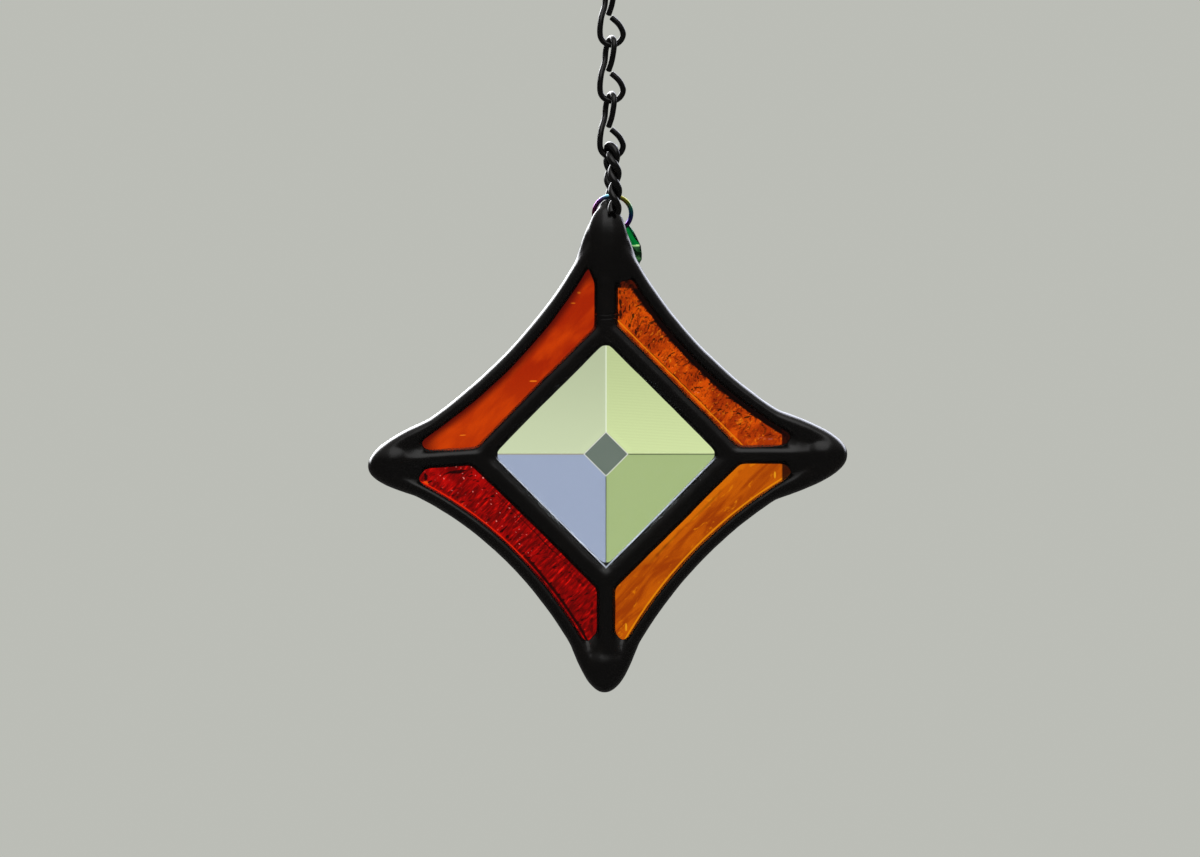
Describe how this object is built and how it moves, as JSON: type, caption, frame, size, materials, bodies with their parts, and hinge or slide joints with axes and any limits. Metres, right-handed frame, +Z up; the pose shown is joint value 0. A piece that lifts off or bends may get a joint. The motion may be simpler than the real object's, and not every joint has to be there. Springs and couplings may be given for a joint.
{
  "type": "stained glass suncatcher",
  "caption": "Four-pointed star of coloured glass panes round a clear bevelled square, in black solder, hung by a twisted-wire loop on a short jack chain.",
  "frame": {"origin": "inside top of the uppermost chain eye, the point that rests on a hook or nail", "axes": "+Z up, the front with its raised bevels faces -Y, +X to the right as seen from the front"},
  "size_m": [0.069, 0.0092, 0.1027],
  "materials": {
    "black_wire": "black, satin",
    "black_solder": "black patina, satin",
    "clear_glass": "clear, polished, ground bevels",
    "flame_glass": "smooth",
    "orange_glass": "crushed texture",
    "amber_glass": "soft waves",
    "ruby_glass": "fine combed texture",
    "rainbow_metal": "anodised rainbow sheen",
    "green_glass": "faceted, polished"
  },
  "bodies": {
    "root": {"chain_link_upper": "black_wire", "chain_link_middle": "black_wire", "chain_link_lower": "black_wire", "hanging_loop": "black_wire", "solder_frame": "black_solder", "bevelled_square": "clear_glass", "pane_upper_left": "flame_glass", "pane_upper_right": "orange_glass", "pane_lower_right": "amber_glass", "pane_lower_left": "ruby_glass", "jump_ring": "rainbow_metal", "glass_drop": "green_glass"}
  },
  "joints": []
}
